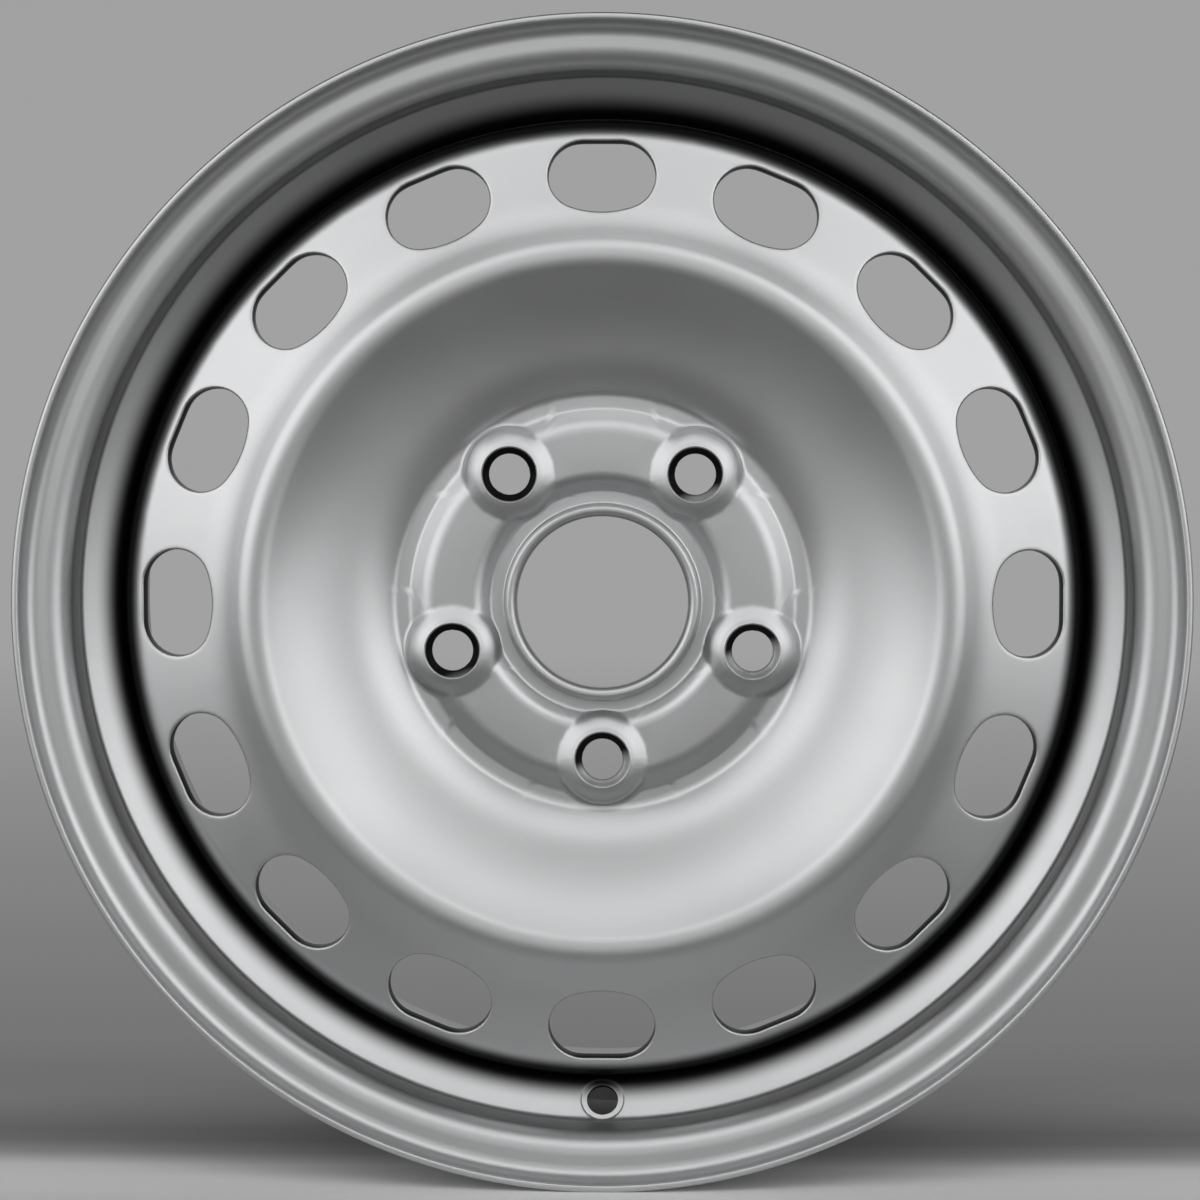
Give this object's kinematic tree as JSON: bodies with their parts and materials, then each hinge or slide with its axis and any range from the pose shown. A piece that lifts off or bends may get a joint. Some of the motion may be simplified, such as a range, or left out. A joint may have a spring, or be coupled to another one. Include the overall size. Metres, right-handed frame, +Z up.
{
  "type": "steel wheel",
  "caption": "Bare pressed-steel road wheel: rolled drop-centre rim welded round a dished disc with oval vent holes, raised ball-seat bolt bosses, a collared centre bore and a valve hole.",
  "frame": {"origin": "the wheel's centre: on its spin axis, halfway between the two flanges", "axes": "+Y along the spin axis towards the vehicle, so the outboard face looks towards -Y; +Z up, away from the valve hole"},
  "size_m": [0.4402, 0.188, 0.44],
  "materials": {
    "silver_paint": "satin",
    "painted_weld": "satin"
  },
  "bodies": {
    "root": {"rim": "silver_paint", "disc": "silver_paint", "weld_1": "painted_weld", "weld_2": "painted_weld", "weld_3": "painted_weld", "weld_4": "painted_weld", "weld_5": "painted_weld", "weld_6": "painted_weld", "weld_7": "painted_weld", "weld_8": "painted_weld"}
  },
  "joints": []
}
